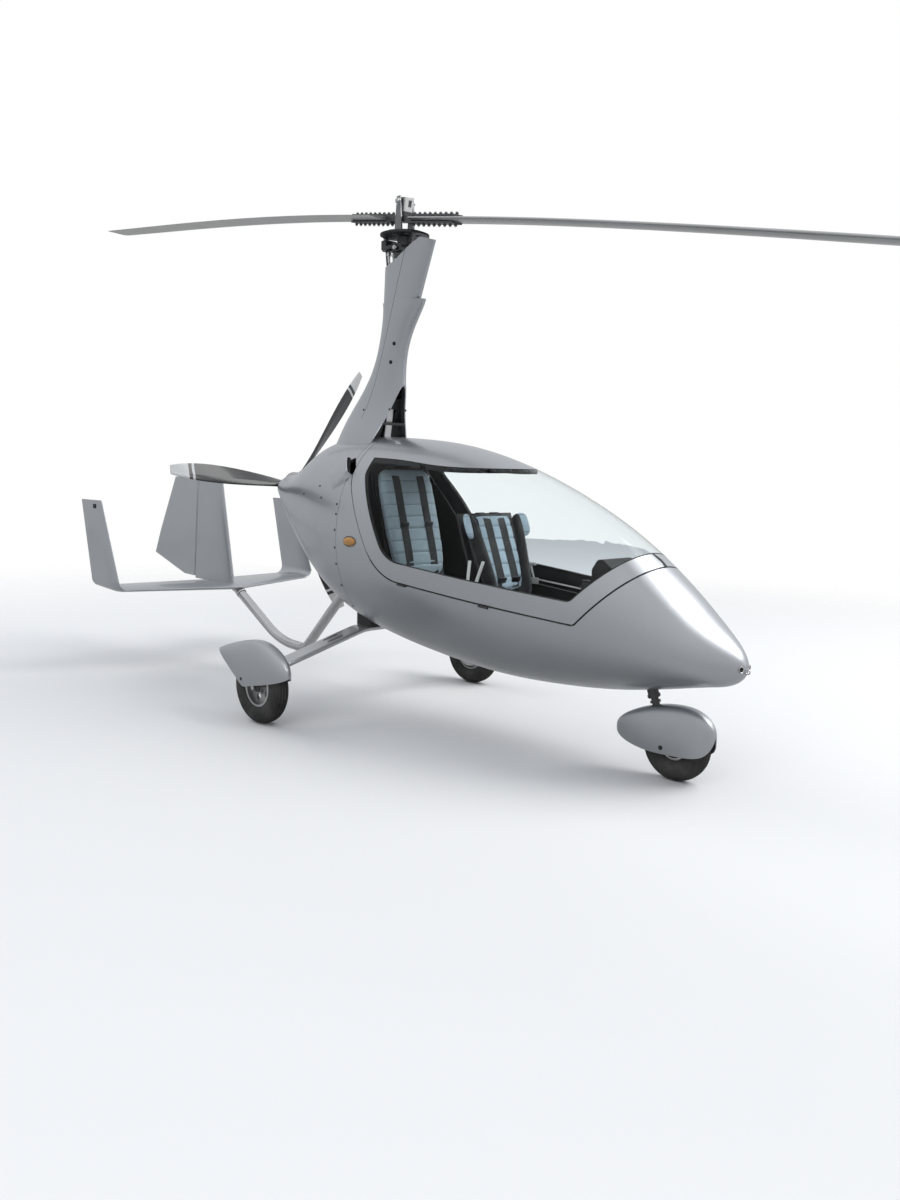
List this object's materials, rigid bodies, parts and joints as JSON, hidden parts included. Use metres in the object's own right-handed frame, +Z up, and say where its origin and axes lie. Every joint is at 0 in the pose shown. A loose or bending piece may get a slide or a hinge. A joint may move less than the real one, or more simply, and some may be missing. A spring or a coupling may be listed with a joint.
{
  "type": "two-seat gyroplane",
  "caption": "Enclosed tandem gyroplane: smooth hull on tricycle gear, faired mast with teetering rotor, rear propeller, keel tube with tail, hinged canopy",
  "frame": {"origin": "on the ground straight below the rotor axis, on the middle plane, with the wheels standing on z = 0", "axes": "+Z up, -Y towards the nose, +X to the port side"},
  "size_m": [1.7342, 8.2421, 3.2227],
  "materials": {
    "silver_composite": "metallic silver paint on a composite shell",
    "bow_composite": "light silver paint on a composite spring",
    "black_composite": "black, satin",
    "canopy_glazing": "clear, blown",
    "sheet_aluminium": "plain sheet and plate",
    "cast_aluminium": "machined and cast",
    "stainless_steel": "polished tube and plate",
    "blade_skin": null,
    "propeller_composite": "black with pale tips",
    "tyre_rubber": "black",
    "seat_fabric": "pale blue-grey, padded",
    "amber_lens": "amber lens"
  },
  "bodies": {
    "airframe": {"fuselage_tub": "silver_composite", "engine_cowling": "silver_composite", "firewall": "sheet_aluminium", "cabin_floor": "black_composite", "canopy_hinges": "stainless_steel", "engine_block": "cast_aluminium", "gearbox": "cast_aluminium", "engine_mount": "stainless_steel", "mast_tube": "stainless_steel", "mast_fairing": "silver_composite", "intake_screen": "black_composite", "rotor_head": "cast_aluminium", "prerotator": "black_composite", "control_rods": "stainless_steel", "tail_boom": "stainless_steel", "tailplane": "silver_composite", "tip_fins": "silver_composite", "centre_fin": "silver_composite", "gear_bow": "bow_composite", "gear_saddle": "bow_composite", "main_axles": "stainless_steel", "main_spats": "silver_composite", "nose_leg_sleeve": "stainless_steel", "seat_shells": "black_composite", "seat_pads": "seat_fabric", "instrument_panel": "black_composite", "cabin_controls": "black_composite", "side_lamps": "amber_lens"},
    "canopy": {"canopy_frame": "silver_composite", "canopy_glass": "canopy_glazing"},
    "rotor": {"ring_gear": "sheet_aluminium", "rotor_tower": "cast_aluminium"},
    "rotor_blades": {"hub_bar": "cast_aluminium", "blade_pair": "blade_skin"},
    "propeller": {"propeller_hub": "cast_aluminium", "propeller_blades": "propeller_composite"},
    "rudder": {"rudder": "silver_composite"},
    "nose_steering": {"nose_fork": "stainless_steel", "nose_spat": "silver_composite"},
    "nose_wheel": {"nose_tyre": "tyre_rubber", "nose_rim": "cast_aluminium"},
    "main_wheel_right": {"main_tyre_right": "tyre_rubber", "main_rim_right": "cast_aluminium"},
    "main_wheel_left": {"main_tyre_left": "tyre_rubber", "main_rim_left": "cast_aluminium"}
  },
  "joints": [
    {"name": "canopy_opening", "type": "hinge", "parent": "airframe", "child": "canopy", "pos_m": [-0.396, -0.45, 0.751], "axis": [0.0091, -0.9965, -0.0833], "range_deg": [0, 85]},
    {"name": "rotor_spin", "type": "hinge", "parent": "airframe", "child": "rotor", "pos_m": [0, 0, 2.6], "axis": [0, 0, 1], "continuous": true},
    {"name": "rotor_teeter", "type": "hinge", "parent": "rotor", "child": "rotor_blades", "pos_m": [0, 0, 2.722], "axis": [0.99, -0.1409, 0], "range_deg": [-19, 0]},
    {"name": "propeller_spin", "type": "hinge", "parent": "airframe", "child": "propeller", "pos_m": [0, 0.934, 1.205], "axis": [0, 1, 0], "continuous": true},
    {"name": "nose_wheel_steer", "type": "hinge", "parent": "airframe", "child": "nose_steering", "pos_m": [0, -1.7, 0.33], "axis": [0, 0.342, 0.9397], "range_deg": [-30, 30]},
    {"name": "rudder_swing", "type": "hinge", "parent": "airframe", "child": "rudder", "pos_m": [0, 2.084, 0.523], "axis": [0, -0.0877, 0.9962], "range_deg": [-30, 30]},
    {"name": "nose_wheel_spin", "type": "hinge", "parent": "nose_steering", "child": "nose_wheel", "pos_m": [0, -1.82, 0.16], "axis": [1, 0, 0], "continuous": true},
    {"name": "main_wheel_right_spin", "type": "hinge", "parent": "airframe", "child": "main_wheel_right", "pos_m": [-0.797, 0.162, 0.192], "axis": [1, 0, 0], "continuous": true},
    {"name": "main_wheel_left_spin", "type": "hinge", "parent": "airframe", "child": "main_wheel_left", "pos_m": [0.797, 0.162, 0.192], "axis": [1, 0, 0], "continuous": true}
  ],
  "couplings": [
    {"joint": "rudder_swing", "follows": "nose_wheel_steer", "ratio": -1}
  ]
}
